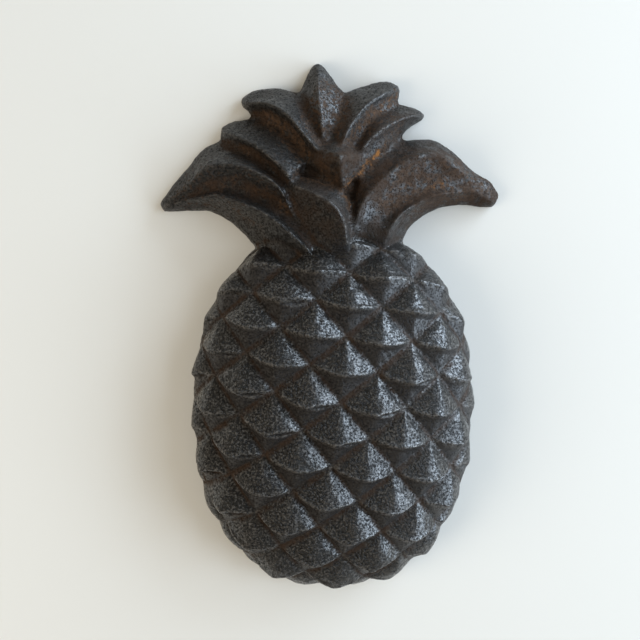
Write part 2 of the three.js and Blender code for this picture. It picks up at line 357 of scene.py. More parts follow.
@dataclass(frozen=True)
class EyedFruit:
    """The domed fruit and its net of diamond eyes, in the solid's own measures.

    Lengths are in millimetres and angles in degrees. The lip of an eye is the
    smiling ridge from its left corner to its right one, and a half eye is the
    unit of places inside it.

    Attributes:
        centre: Where the crest of the dome stands.
        half_width: The dome's reach to each side.
        above: Its reach from the crest to the shoulder.
        below: Its reach from the crest to the foot.
        depth: Its height.
        lean: How far it leans to one side.
        shoulder_fullness: The power of its outline above the crest, 2 for an ellipse.
        foot_fullness: The power of its outline below the crest.
        section_fullness: The power of its cross-section.
        eye_width: An eye from its left corner to its right one.
        eye_length: An eye from its bottom corner to its top one.
        net_turn: How far the net of eyes is turned.
        net_start: One corner of the net, from the crest.
        row_smile: How fast the rows rise to both sides, with the square of the way.
        column_bow: How fast the columns bend aside, with the square of the way.
        eye_height: How high an eye on the crest stands.
        rim_share: The share of that height left at the rim.
        groove_floor: How high the floor of the grooves lies.
        lip_sag: How far the lip sags in the middle, in half eyes.
        lip_step: The share of the eye's height that drops right under the lip.
        lip_width: The share of the lower face in which it drops.
        lip_roll: How far the bead along the lip stands out.
        roll_width: How wide that bead is, in half eyes.
        roll_end: How far from the corner it fades out, in half eyes.
        ridge_round: How round the upright ridge is, in half eyes.
        ridge_aside: How far to the right it may stand, in half eyes.
        ridge_fullness: The power of the eye's section, 1 for a plain roof.
        height_spread: How much the eyes differ in height.
        sag_spread: How much they differ in the lip's sag.
        mound: How much the upper face bulges.
        least_span: The least width of an eye that a place is measured by.
        edge_fade: The gaps between mesh and eyes over which the marks fade out.
        lip_blend: Half the width in which the skin changes at the lip, in half eyes.
        lip_line: How wide the line of rubbed paint and painted highlight along the lip is, in half eyes.
        net_width: How wide the dirty net is, in half eyes.
        net_fade: The shares of that width between which it fades.
        dirt_and_shade_width: How much wider it gets at the left of the upper faces, as dirt and painted brown
            shade.
        dirt_and_shade_side: How far left it is full there, in half eyes.
        unbow_rounds: How often the bent rows are straightened to find a place.
        spokes: How many directions the dome is measured in.
        rings: How many places there are on each.
    """

    centre: tuple[float, float] = (-1.748, -36.301)
    half_width: float = 67.2
    above: float = 85.0
    below: float = 89.6
    depth: float = 37.0
    lean: float = 2.8
    shoulder_fullness: float = 2.2
    foot_fullness: float = 2.36
    section_fullness: float = 2.25
    eye_width: float = 29.9
    eye_length: float = 29.5
    net_turn: float = -9.5
    net_start: tuple[float, float] = (-9.4, 22.7)
    row_smile: float = 0.001
    column_bow: float = -0.00075
    eye_height: float = 6.1
    rim_share: float = 0.22
    groove_floor: float = 0.1
    lip_sag: float = 0.24
    lip_step: float = 0.27
    lip_width: float = 0.2
    lip_roll: float = 1.2
    roll_width: float = 0.08
    roll_end: float = 0.35
    ridge_round: float = 0.05
    ridge_aside: float = 0.09
    ridge_fullness: float = 1.5
    height_spread: float = 0.07
    sag_spread: float = 0.25
    mound: float = 0.62
    least_span: float = 0.001
    edge_fade: Span = (1.2, 2.4)
    lip_blend: float = 0.06
    lip_line: float = 0.07
    net_width: float = 0.11
    net_fade: Span = (0.3, 1.0)
    dirt_and_shade_width: float = 0.16
    dirt_and_shade_side: float = 0.3
    unbow_rounds: int = 6
    spokes: int = 480
    rings: int = 120

    def skin(self) -> tuple[np.ndarray, np.ndarray, np.ndarray]:
        """Lays spokes and rings over the bare dome.

        Returns:
            For each crossing its place, the length walked to it from the crest,
            and its direction, in arrays of spokes by rings.
        """
        angle = np.linspace(0.0, 2.0 * math.pi, self.spokes, endpoint=False)
        lean = math.radians(self.lean)
        side, along = np.cos(angle + lean), np.sin(angle + lean)
        reach = np.where(along >= 0.0, self.above, self.below)
        power = np.where(along >= 0.0, self.shoulder_fullness, self.foot_fullness)
        radius = (np.abs(side / self.half_width) ** power + np.abs(along / reach) ** power) ** (-1.0 / power)
        down = np.linspace(0.0, math.pi / 2, self.rings)
        out = radius[:, None] * np.sin(down) ** (2.0 / self.section_fullness)
        up = self.depth * np.maximum(np.cos(down), 0.0) ** (2.0 / self.section_fullness)
        up = np.broadcast_to(up, out.shape)
        steps = np.hypot(np.diff(out, axis=1), np.diff(up, axis=1))
        walked = np.concatenate([np.zeros((self.spokes, 1)), np.cumsum(steps, axis=1)], axis=1)
        places = np.stack([out * np.cos(angle)[:, None], out * np.sin(angle)[:, None], up], axis=2)
        return places, walked, np.broadcast_to(angle[:, None], walked.shape)

    def locate(self, points: np.ndarray) -> SkinPlaces:
        """Finds where points lie on the fruit.

        Args:
            points: Rows of x, y, z, in metres.

        Returns:
            Their heights, normals and places in their eyes.
        """
        places, walked, angle = self.skin()
        two_spokes = 4.0 * math.pi / self.spokes
        across = np.gradient(places, axis=1)
        across /= np.maximum(np.linalg.norm(across, axis=2, keepdims=True), TINY)
        around = (np.roll(places, -1, axis=0) - np.roll(places, 1, axis=0)) / two_spokes
        drift = (np.roll(walked, -1, axis=0) - np.roll(walked, 1, axis=0)) / two_spokes
        flat = places.reshape(-1, 3)
        local = points / MM - np.array([*self.centre, 0.0])
        nearest = nearest_rows(flat, local)
        # All spokes meet on the crest, so a point there takes the next ring's directions.
        nearest = np.where(nearest % self.rings == 0, nearest + 1, nearest)
        tangent, turning = across.reshape(-1, 3)[nearest], around.reshape(-1, 3)[nearest]
        normal = np.cross(tangent, turning)
        normal /= np.maximum(np.linalg.norm(normal, axis=1, keepdims=True), TINY)
        axes = np.stack([tangent, turning, normal], axis=2)
        step = np.linalg.solve(axes, (local - flat[nearest])[:, :, None])[:, :, 0]
        length = walked.ravel()[nearest] + step[:, 0] + step[:, 1] * drift.ravel()[nearest]
        turned = angle.ravel()[nearest] + step[:, 1]
        right, up, chance = self.in_eye(length * np.cos(turned), length * np.sin(turned))
        return SkinPlaces(step[:, 2], normal, right, up, chance)

    def in_eye(self, across: np.ndarray, along: np.ndarray) -> tuple[np.ndarray, np.ndarray, np.ndarray]:
        """Turns places on the unrolled skin into places inside their eyes.

        Args:
            across: How far right of the crest.
            along: How far up from the crest.

        Returns:
            The two places inside the eye and the eye's own number, each from -1 to 1.
        """
        flat_x, flat_y = across, along
        for _ in range(self.unbow_rounds):
            flat_x = across - self.column_bow * flat_y ** 2
            flat_y = along - self.row_smile * flat_x ** 2
        turn = math.radians(self.net_turn)
        from_x, from_y = flat_x - self.net_start[0], flat_y - self.net_start[1]
        columns = (from_x * math.cos(turn) + from_y * math.sin(turn)) / (self.eye_width / 2)
        rows = (from_y * math.cos(turn) - from_x * math.sin(turn)) / (self.eye_length / 2)
        down, aside = (columns - rows) / 2, (columns + rows) / 2
        first, second = np.mod(down, 1.0), np.mod(aside, 1.0)
        mixed = np.sin(CHANCE_DOWN * np.floor(down) + CHANCE_ASIDE * np.floor(aside))
        chance = 2.0 * np.mod(mixed * CHANCE_SCALE, 1.0) - 1.0
        return first + second - 1.0, second - first, chance

    def lip(self, where: SkinPlaces) -> np.ndarray:
        """Tells how far up in its eye the lip runs over each point.

        Args:
            where: The points' places on the fruit.

        Returns:
            The lip's places, from -1 at the eye's bottom corner to 1 at its top one.
        """
        return -self.lip_sag * (1.0 + self.sag_spread * where.chance) * (1.0 - where.right ** 2)

    def relief(self, where: SkinPlaces) -> np.ndarray:
        """Tells how high the carved eyes stand above the uncarved skin.

        Args:
            where: The points' places on the fruit.

        Returns:
            The heights in millimetres.
        """
        span = np.maximum(1.0 - np.abs(where.right), self.least_span)
        lip = self.lip(where)
        upper = np.clip((span - where.up) / (span - lip), 0.0, 1.0)
        lower = np.clip((where.up + span) / (lip + span), 0.0, 1.0)
        rise = upper * (1.0 + self.mound * (1.0 - upper))
        fall = lower * (1.0 - self.lip_step) + self.lip_step * smooth_step(lower, 1.0 - self.lip_width, 1.0)
        ridge = self.ridge_aside * (1.0 + where.chance) * (1.0 - where.right ** 2)
        crest = 1.0 - np.hypot(where.right - ridge, self.ridge_round) ** self.ridge_fullness
        crest *= self.eye_height * (1.0 + self.height_spread * where.chance)
        facing = self.rim_share + (1.0 - self.rim_share) * np.maximum(where.normal[:, 2], 0.0)
        roll = self.lip_roll * np.exp(-(((where.up - lip) / self.roll_width) ** 2))
        roll *= smooth_step(span, 0.0, self.roll_end)
        slope = np.where(where.up > lip, rise, fall)
        return self.groove_floor + facing * (np.maximum(crest, 0.0) * slope + roll)

    def marks(self, points: np.ndarray) -> EyeMarks:
        """Finds the eyes, their net and their lips under a mesh's points.

        Args:
            points: Rows of x, y, z, in metres.

        Returns:
            The masks.
        """
        where = self.locate(points)
        eyed = 1.0 - smooth_step(np.abs(self.relief(where) - where.height), *self.edge_fade)
        over_lip = where.up - self.lip(where)
        above = smooth_step(over_lip, -self.lip_blend, self.lip_blend)
        lip = np.exp(-((over_lip / self.lip_line) ** 2)) * eyed
        from_edge = 1.0 - np.abs(where.right) - np.abs(where.up)
        # The net of dirt widens over the left of the upper faces: dirt, and a painted brown shade on the side
        # away from the lamps.
        width = self.net_width + self.dirt_and_shade_width * above * smooth_step(-where.right, 0.0, self.dirt_and_shade_side)
        net = 1.0 - smooth_step(from_edge / width, *self.net_fade)
        return EyeMarks(eyed, net, lip, above)


@dataclass
class CastingPiece:
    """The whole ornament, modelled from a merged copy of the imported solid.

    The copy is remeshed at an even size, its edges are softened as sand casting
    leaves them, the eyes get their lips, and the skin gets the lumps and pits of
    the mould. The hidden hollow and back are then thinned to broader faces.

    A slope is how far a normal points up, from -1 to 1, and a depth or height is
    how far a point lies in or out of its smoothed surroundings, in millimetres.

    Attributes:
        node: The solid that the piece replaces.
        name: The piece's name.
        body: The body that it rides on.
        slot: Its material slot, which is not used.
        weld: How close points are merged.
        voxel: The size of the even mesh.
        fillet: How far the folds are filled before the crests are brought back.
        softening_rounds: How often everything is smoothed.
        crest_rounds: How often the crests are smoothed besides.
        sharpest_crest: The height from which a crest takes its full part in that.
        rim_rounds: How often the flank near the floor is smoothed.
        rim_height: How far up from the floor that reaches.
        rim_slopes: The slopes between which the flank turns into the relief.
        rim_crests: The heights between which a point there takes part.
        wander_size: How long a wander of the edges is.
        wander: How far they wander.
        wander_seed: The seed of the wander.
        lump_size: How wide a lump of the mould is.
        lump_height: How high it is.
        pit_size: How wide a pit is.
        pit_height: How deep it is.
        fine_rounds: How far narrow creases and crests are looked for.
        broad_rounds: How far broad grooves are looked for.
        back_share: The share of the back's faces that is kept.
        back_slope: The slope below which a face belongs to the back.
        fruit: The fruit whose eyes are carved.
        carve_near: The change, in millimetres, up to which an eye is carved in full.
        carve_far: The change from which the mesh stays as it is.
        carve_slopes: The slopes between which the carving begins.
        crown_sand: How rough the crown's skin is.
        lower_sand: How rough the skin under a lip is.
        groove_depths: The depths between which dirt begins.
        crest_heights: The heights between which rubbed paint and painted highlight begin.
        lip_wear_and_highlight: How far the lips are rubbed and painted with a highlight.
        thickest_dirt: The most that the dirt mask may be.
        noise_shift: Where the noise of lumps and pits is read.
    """

    node: str = "pineapple_casting"
    name: str = "pineapple_ornament"
    body: str = "root"
    slot: str = "rusty_black_iron"
    weld: float = 0.01 * MM
    voxel: float = 0.9 * MM
    fillet: float = 0.8 * MM
    softening_rounds: int = 2
    crest_rounds: int = 4
    sharpest_crest: float = 0.12
    rim_rounds: int = 60
    rim_height: float = 16.0 * MM
    rim_slopes: Span = (0.6, 0.95)
    rim_crests: Span = (-0.1, 0.05)
    wander_size: float = 12.0 * MM
    wander: float = 0.7 * MM
    wander_seed: int = 7
    lump_size: float = 4.0 * MM
    lump_height: float = 0.16 * MM
    pit_size: float = 1.9 * MM
    pit_height: float = 0.2 * MM
    fine_rounds: int = 8
    broad_rounds: int = 90
    back_share: float = 0.12
    back_slope: float = -0.2
    fruit: EyedFruit = EyedFruit()
    carve_near: float = 2.0
    carve_far: float = 3.6
    carve_slopes: Span = (-0.3, 0.0)
    crown_sand: float = 0.42
    lower_sand: float = 0.3
    groove_depths: Span = (0.05, 0.9)
    crest_heights: Span = (0.08, 0.35)
    lip_wear_and_highlight: float = 0.9
    thickest_dirt: float = 1.2
    noise_shift: Vector = field(default_factory=lambda: Vector((11.3, 4.7, 2.9)))

    def build(self) -> bpy.types.Object:
        """Models the casting and puts it in the solid's place.

        Returns:
            The finished piece, without its material.
        """
        piece = self.copy_of_solid()
        self.soften(piece)
        self.roughen(piece)
        self.thin_back(piece)
        self.drop_bubbles(piece)
        self.seat(piece)
        self.paint_layers(piece)
        select_only(piece)
        bpy.ops.object.shade_smooth()
        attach(piece, self.body)
        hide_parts(self.node)
        log.info("%s: %d faces", piece.name, len(piece.data.polygons))
        return piece

    def copy_of_solid(self) -> bpy.types.Object:
        """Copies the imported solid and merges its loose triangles.

        Returns:
            The copy, which rides on nothing yet.
        """
        select_only(frame["nodes"][self.node])
        bpy.ops.object.duplicate()
        piece = bpy.context.view_layer.objects.active
        piece.name = self.name
        piece.data.name = self.name
        piece.parent = None
        for key in list(piece.keys()):
            del piece[key]
        piece.data.materials.clear()
        bpy.ops.object.mode_set(mode="EDIT")
        bpy.ops.mesh.select_all(action="SELECT")
        bpy.ops.mesh.remove_doubles(threshold=self.weld)
        bpy.ops.object.mode_set(mode="OBJECT")
        return piece

    def soften(self, piece: bpy.types.Object) -> None:
        """Gives the piece an even mesh and rounds its crests and tips.

        Args:
            piece: The merged copy.
        """
        apply_modifier(piece, "REMESH", mode="VOXEL", voxel_size=self.voxel)
        apply_modifier(piece, "DISPLACE", strength=self.fillet, mid_level=0.0)
        apply_modifier(piece, "REMESH", mode="VOXEL", voxel_size=self.voxel)
        apply_modifier(piece, "DISPLACE", strength=-self.fillet, mid_level=0.0)
        self.carve_eyes(piece)
        apply_modifier(piece, "SMOOTH", factor=SMOOTHING, iterations=self.softening_rounds)
        places, normals = points_of(piece.data), normals_of(piece.data)
        depth = self.sunk(Neighbours(piece.data), places, normals, self.fine_rounds)
        self.smooth_where(piece, smooth_step(-depth, 0.0, self.sharpest_crest), self.crest_rounds)
        rim = 1.0 - smooth_step(places[:, 2], 0.5 * self.rim_height, self.rim_height)
        rim *= 1.0 - smooth_step(np.abs(normals[:, 2]), *self.rim_slopes)
        rim *= smooth_step(-depth, *self.rim_crests)
        self.smooth_where(piece, rim, self.rim_rounds)

    def carve_eyes(self, piece: bpy.types.Object) -> None:
        """Gives the eyes of the fruit their sagging lips and smooth undersides.

        Args:
            piece: The remeshed piece, with plain faceted eyes.
        """
        places = points_of(piece.data)
        where = self.fruit.locate(places)
        change = self.fruit.relief(where) - where.height
        share = 1.0 - smooth_step(np.abs(change), self.carve_near, self.carve_far)
        share *= smooth_step(normals_of(piece.data)[:, 2], *self.carve_slopes)
        carved = share > 0.5
        log.info("eyes: %d points carved, by %.2f mm on average", carved.sum(), np.abs(change)[carved].mean())
        move_points(piece.data, places + where.normal * (change * share * MM)[:, None])

    @staticmethod
    def smooth_where(piece: bpy.types.Object, weights: np.ndarray, rounds: int) -> None:
        """Smooths some of the piece's points.

        Args:
            piece: The piece to smooth.
            weights: How far each point takes part, from 0 to 1.
            rounds: How many times they are smoothed.
        """
        group = piece.vertex_groups.new(name="smoothed")
        for k in np.nonzero(weights > LEAST_WEIGHT)[0]:
            group.add([int(k)], float(weights[k]), "REPLACE")
        apply_modifier(piece, "SMOOTH", factor=SMOOTHING, iterations=rounds, vertex_group=group.name)
        piece.vertex_groups.clear()

    def roughen(self, piece: bpy.types.Object) -> None:
        """Moves the skin as the sand of the mould left it: lumps, pits and edges that wander.

        Args:
            piece: The softened piece.
        """
        mesh = piece.data
        places, normals = points_of(mesh), normals_of(mesh)
        push = np.empty(len(places))
        drift = np.empty((len(places), 3))
        noise.seed_set(self.wander_seed)
        for k, place in enumerate(places):
            spot = Vector(place)
            lump = noise.noise(spot / self.lump_size + self.noise_shift)
            pit = noise.noise(spot / self.pit_size - self.noise_shift)
            push[k] = lump * self.lump_height + pit * self.pit_height
            drift[k] = noise.noise_vector(spot / self.wander_size + self.noise_shift)
        drift[:, 2] = 0.0
        move_points(mesh, places + normals * push[:, None] + drift * self.wander)

    def thin_back(self, piece: bpy.types.Object) -> None:
        """Merges the faces of the hidden back into fewer, broader ones.

        Args:
            piece: The roughened piece.
        """
        hidden = np.nonzero(normals_of(piece.data)[:, 2] < self.back_slope)[0]
        group = piece.vertex_groups.new(name="back")
        group.add([int(k) for k in hidden], 1.0, "REPLACE")
        kept = 1.0 - (1.0 - self.back_share) * len(hidden) / len(piece.data.vertices)
        log.info("%s: %d points, %d of them at the back", piece.name, len(piece.data.vertices), len(hidden))
        apply_modifier(piece, "DECIMATE", ratio=kept, vertex_group=group.name)
        piece.vertex_groups.clear()

    @staticmethod
    def drop_bubbles(piece: bpy.types.Object) -> None:
        """Deletes closed bubbles that the remeshing left inside the iron.

        Args:
            piece: The thinned piece.
        """
        points = points_of(piece.data)
        select_only(piece)
        bpy.ops.object.mode_set(mode="EDIT")
        bpy.ops.mesh.select_all(action="DESELECT")
        bpy.ops.object.mode_set(mode="OBJECT")
        # The highest point lies on the outer skin, which is all one sheet.
        piece.data.vertices[int(points[:, 2].argmax())].select = True
        bpy.ops.object.mode_set(mode="EDIT")
        bpy.ops.mesh.select_linked()
        bpy.ops.mesh.select_all(action="INVERT")
        bpy.ops.mesh.delete(type="VERT")
        bpy.ops.object.mode_set(mode="OBJECT")
        log.info("%s: %d points of bubbles deleted", piece.name, len(points) - len(piece.data.vertices))

    def seat(self, piece: bpy.types.Object) -> None:
        """Keeps the piece above the floor that it lies on and inside the solid's box.

        Args:
            piece: The thinned piece.
        """
        places = points_of(piece.data)
        move_points(piece.data, np.clip(places, np.array(CAD_BOX[0]), np.array(CAD_BOX[1])))

    def paint_layers(self, piece: bpy.types.Object) -> None:
        """Writes the masks of grooves, crests, rust and sand at the piece's points.

        Args:
            piece: The seated piece.
        """
        mesh = piece.data
        places, normals = points_of(mesh), normals_of(mesh)
        near = Neighbours(mesh)
        fine = self.sunk(near, places, normals, self.fine_rounds)
        broad = self.sunk(near, places, normals, self.broad_rounds)
        rust = np.max([stain.mask(places / MM) for stain in CROWN_RUST], axis=0)
        dirt = np.max([stain.mask(places / MM) for stain in CROWN_DIRT], axis=0)
        groove = np.maximum(smooth_step(broad, *self.groove_depths), np.minimum(dirt, self.thickest_dirt))
        marks = self.fruit.marks(places)
        eye_sand = self.lower_sand + (1.0 - self.lower_sand) * marks.above
        masks = {
            Layer.GROOVE: groove + (marks.net - groove) * marks.eyed,
            # The crest mask: rubbed paint and a painted highlight along the crests and the lips.
            Layer.CREST: np.maximum(smooth_step(-fine, *self.crest_heights), self.lip_wear_and_highlight * marks.lip),
            Layer.RUST: rust,
            Layer.SAND: self.crown_sand + (eye_sand - self.crown_sand) * marks.eyed,
        }
        for layer, values in masks.items():
            attribute = mesh.attributes.new(layer.value, "FLOAT", "POINT")
            attribute.data.foreach_set("value", values.astype(np.float32))

    @staticmethod
    def sunk(near: Neighbours, places: np.ndarray, normals: np.ndarray, rounds: int) -> np.ndarray:
        """Tells how deep each point lies under its smoothed surroundings.

        Args:
            near: The mesh's neighbours.
            places: The points' places.
            normals: The points' normals.
            rounds: How far the smoothing reaches.

        Returns:
            The depth in millimetres, below 0 on crests.
        """
        drift = near.smoothed(places, rounds) - places
        return (drift * normals).sum(axis=1) / MM


class NodeSheet:
    """A node tree under construction: it adds nodes and joins their sockets."""

    def __init__(self, tree: bpy.types.NodeTree) -> None:
        """Takes the tree to fill.

        Args:
            tree: A material's or a group's node tree.
        """
        self.tree = tree

    def add(self, kind: str, feeds: dict[str | int, Any] | None = None, **settings: Any) -> bpy.types.Node:
        """Adds a node.

        Args:
            kind: The node's type.
            feeds: What goes into its inputs, a socket to join or a plain value.
            settings: The node's own properties.

        Returns:
            The new node.
        """
        node = self.tree.nodes.new(kind)
        for name, value in settings.items():
            setattr(node, name, value)
        self.feed(node, feeds or {})
        return node

    def feed(self, node: bpy.types.Node, feeds: dict[str | int, Any]) -> None:
        """Joins sockets to a node's inputs, or sets their plain values.

        Args:
            node: The node to feed.
            feeds: Output sockets or values, by the input's name or number.
        """
        for name, value in feeds.items():
            if isinstance(value, bpy.types.NodeSocket):
                self.tree.links.new(value, node.inputs[name])
            else:
                node.inputs[name].default_value = value

    def combine(self, kind: str, first: Any, second: Any, clamp: bool = False) -> bpy.types.NodeSocket:
        """Adds a Math node.

        Args:
            kind: The operation.
            first: Its first input.
            second: Its second input.
            clamp: Whether the result is kept between 0 and 1.

        Returns:
            The result.
        """
        return self.add("ShaderNodeMath", {0: first, 1: second}, operation=kind, use_clamp=clamp).outputs[0]

    def ramp(self, value: Any, span: Span, start: float = 0.0, end: float = 1.0) -> bpy.types.NodeSocket:
        """Adds a smooth ramp between two values.

        Args:
            value: The input.
            span: Where the ramp starts and where it ends.
            start: The result before the ramp.
            end: The result after it.

        Returns:
            The result.
        """
        feeds = {0: value, 1: span[0], 2: span[1], 3: start, 4: end}
        return self.add("ShaderNodeMapRange", feeds, interpolation_type="SMOOTHSTEP").outputs[0]

    def mix(self, share: Any, first: Any, second: Any) -> bpy.types.NodeSocket:
        """Adds a mix of two colours.

        Args:
            share: How much of the second colour shows.
            first: The first colour, a socket or three plain numbers.
            second: The second colour, a socket or three plain numbers.

        Returns:
            The mixed colour.
        """
        colours = [(*colour, 1.0) if isinstance(colour, tuple) else colour for colour in (first, second)]
        feeds = {0: share, 6: colours[0], 7: colours[1]}
        return self.add("ShaderNodeMix", feeds, data_type="RGBA").outputs[2]

    def noise(self, place: Any, blobs: Any, detail: float) -> bpy.types.NodeSocket:
        """Adds a noise of blobs of about a given size.

        Args:
            place: The place, in millimetres.
            blobs: The number of blobs for each millimetre.
            detail: How many finer octaves it has.

        Returns:
            The noise, around 0.5.
        """
        feeds = {"Vector": place, "Scale": blobs, "Detail": detail, "Roughness": NOISE_ROUGHNESS}
        return self.add("ShaderNodeTexNoise", feeds).outputs["Fac"]


FLOAT = "NodeSocketFloat"
VECTOR = "NodeSocketVector"


def new_group(name: str, inputs: dict[str, str], outputs: tuple[str, ...]) -> tuple[NodeSheet, Any, Any]:
    """Makes an empty shader node group with named sockets.

    Args:
        name: The group's name.
        inputs: Socket types by input name.
        outputs: The names of the outputs, which are all masks or heights.

    Returns:
        The sheet to fill, the group's input node and its output node.
    """
    tree = bpy.data.node_groups.new(name, "ShaderNodeTree")
    for socket, kind in inputs.items():
        tree.interface.new_socket(socket, in_out="INPUT", socket_type=kind)
    for socket in outputs:
        tree.interface.new_socket(socket, in_out="OUTPUT", socket_type=FLOAT)
    sheet = NodeSheet(tree)
    return sheet, sheet.add("NodeGroupInput"), sheet.add("NodeGroupOutput")


@dataclass(frozen=True)
class SandGrain:
    """The grain that mould sand leaves on iron, as a node group.

    Attributes:
        coarse_detail: The octaves of the main grains.
        coarse_share: How much of the grain they make up.
        fine_ratio: How many times smaller the fine grains are.
        fine_detail: The octaves of the fine grains.
        tops: The levels between which a pit turns into the top of a grain.
        roundness: How far the tops still rise with the level.
        glints: The levels between which a top begins to glint.
        patch_ratio: The size of a grain against that of a broad patch.
        patch_detail: The octaves of the patches.
        patches: The noise between which a patch begins.
    """

    name: str = "sand_grain"
    coarse_detail: float = 1.5
    coarse_share: float = 0.7
    fine_ratio: float = 2.3
    fine_detail: float = 1.0
    tops: Span = (0.39, 0.49)
    roundness: float = 0.35
    glints: Span = (0.52, 0.64)
    patch_ratio: float = 0.05
    patch_detail: float = 3.0
    patches: Span = (0.38, 0.66)

    def group(self) -> bpy.types.NodeTree:
        """Builds the group.

        Returns:
            A group that takes a place in millimetres and the grains for each
            millimetre, and puts out a height, dark pits, glinting grains and
            broad patches.
        """
        inputs = {"Place": VECTOR, "Grains": FLOAT}
        sheet, given, made = new_group(self.name, inputs, ("Height", "Pits", "Glints", "Patches"))
        place, grains = given.outputs["Place"], given.outputs["Grains"]
        coarse = sheet.noise(place, grains, self.coarse_detail)
        coarse = sheet.combine("MULTIPLY", coarse, self.coarse_share)
        fine = sheet.noise(place, sheet.combine("MULTIPLY", grains, self.fine_ratio), self.fine_detail)
        fine = sheet.combine("MULTIPLY", fine, 1.0 - self.coarse_share)
        level = sheet.combine("ADD", coarse, fine)
        tops = sheet.ramp(level, self.tops)
        rounded = sheet.combine("MULTIPLY", level, self.roundness)
        patches = sheet.noise(place, sheet.combine("MULTIPLY", grains, self.patch_ratio), self.patch_detail)
        sheet.feed(made, {
            "Height": sheet.combine("ADD", tops, rounded),
            "Pits": sheet.combine("SUBTRACT", 1.0, tops, clamp=True),
            "Glints": sheet.ramp(level, self.glints),
            "Patches": sheet.ramp(patches, self.patches),
        })
        return sheet.tree


@dataclass(frozen=True)
class Weathering:
    """Crests rubbed to iron with a painted highlight, dirt in the grooves and rust, as a node group.

    Attributes:
        speckles: How many small speckles there are for each millimetre.
        clouds: How many broad clouds there are for each millimetre.
        flakes: How many flakes of rust there are for each millimetre.
        soft_detail: The octaves of speckles and clouds.
        flake_detail: The octaves of the flakes.
        worn_and_highlight: The speckles between which a crest turns to iron colour, as rubbed paint and a
            painted highlight.
        settled: The clouds between which dirt has settled.
        sprinkled: The speckles between which the dirt gets thick.
        thinnest: How much dirt is left between them.
        flaked: The flakes' noise between which they grow.
        flake_push: What the least and the most of it add to the rust.
        rusted: The sums between which the rust begins.
        rust_edge: The rust layer over which it fades in.
    """

    name: str = "weathering"
    speckles: float = 0.9
    clouds: float = 0.16
    flakes: float = 0.55
    soft_detail: float = 3.0
    flake_detail: float = 4.0
    worn_and_highlight: Span = (0.35, 0.62)
    settled: Span = (0.3, 0.62)
    sprinkled: Span = (0.2, 0.55)
    thinnest: float = 0.45
    flaked: Span = (0.3, 0.7)
    flake_push: Span = (-0.55, 0.45)
    rusted: Span = (0.18, 0.85)
    rust_edge: Span = (0.0, 0.3)

    def group(self) -> bpy.types.NodeTree:
        """Builds the group.

        Returns:
            A group that takes the layers of the casting and a place in
            millimetres, and puts out where crests are rubbed with a painted highlight, and how dirty and
            rusty the skin is.
        """
        masks = ("Groove", "Crest", "Rust", "Wear and highlight", "Dirt")
        inputs = {"Place": VECTOR, **{mask: FLOAT for mask in masks}}
        sheet, given, made = new_group(self.name, inputs, ("Bare and highlight", "Dirty", "Rusty"))
        place = given.outputs["Place"]
        groove, crest, rust, wear_and_highlight, dirt = (given.outputs[mask] for mask in masks)
        speckle = sheet.noise(place, self.speckles, self.soft_detail)
        cloud = sheet.noise(place, self.clouds, self.soft_detail)
        flakes = sheet.noise(place, self.flakes, self.flake_detail)
        # Speckles of iron colour on the crests: rubbed paint and a painted highlight.
        worn_and_highlight = sheet.combine("MULTIPLY", crest, sheet.ramp(speckle, self.worn_and_highlight))
        settled = sheet.combine("MULTIPLY", groove, sheet.ramp(cloud, self.settled))
        settled = sheet.combine("MULTIPLY", settled, sheet.ramp(speckle, self.sprinkled, self.thinnest))
        flaky = sheet.combine("ADD", rust, sheet.ramp(flakes, self.flaked, *self.flake_push))
        rusty = sheet.ramp(flaky, self.rusted)
        sheet.feed(made, {
            "Bare and highlight": sheet.combine("MULTIPLY", worn_and_highlight, wear_and_highlight, clamp=True),
            "Dirty": sheet.combine("MULTIPLY", settled, dirt, clamp=True),
            "Rusty": sheet.combine("MULTIPLY", rusty, sheet.ramp(rust, self.rust_edge)),
        })
        return sheet.tree


@dataclass(frozen=True)
class Skin:
    """The sockets that tell a finish how the casting's skin is at each place.

    Attributes:
        place: The place in millimetres.
        layers: The casting's own masks.
        sand: The outputs of the sand grain group.
        weather: The outputs of the weathering group.
        stained: How dirty or rusty the skin is.
        clean: How free of dirt and rust it is.
    """

    place: Any
    layers: dict[Layer, Any]
    sand: Any
    weather: Any
    stained: Any
    clean: Any


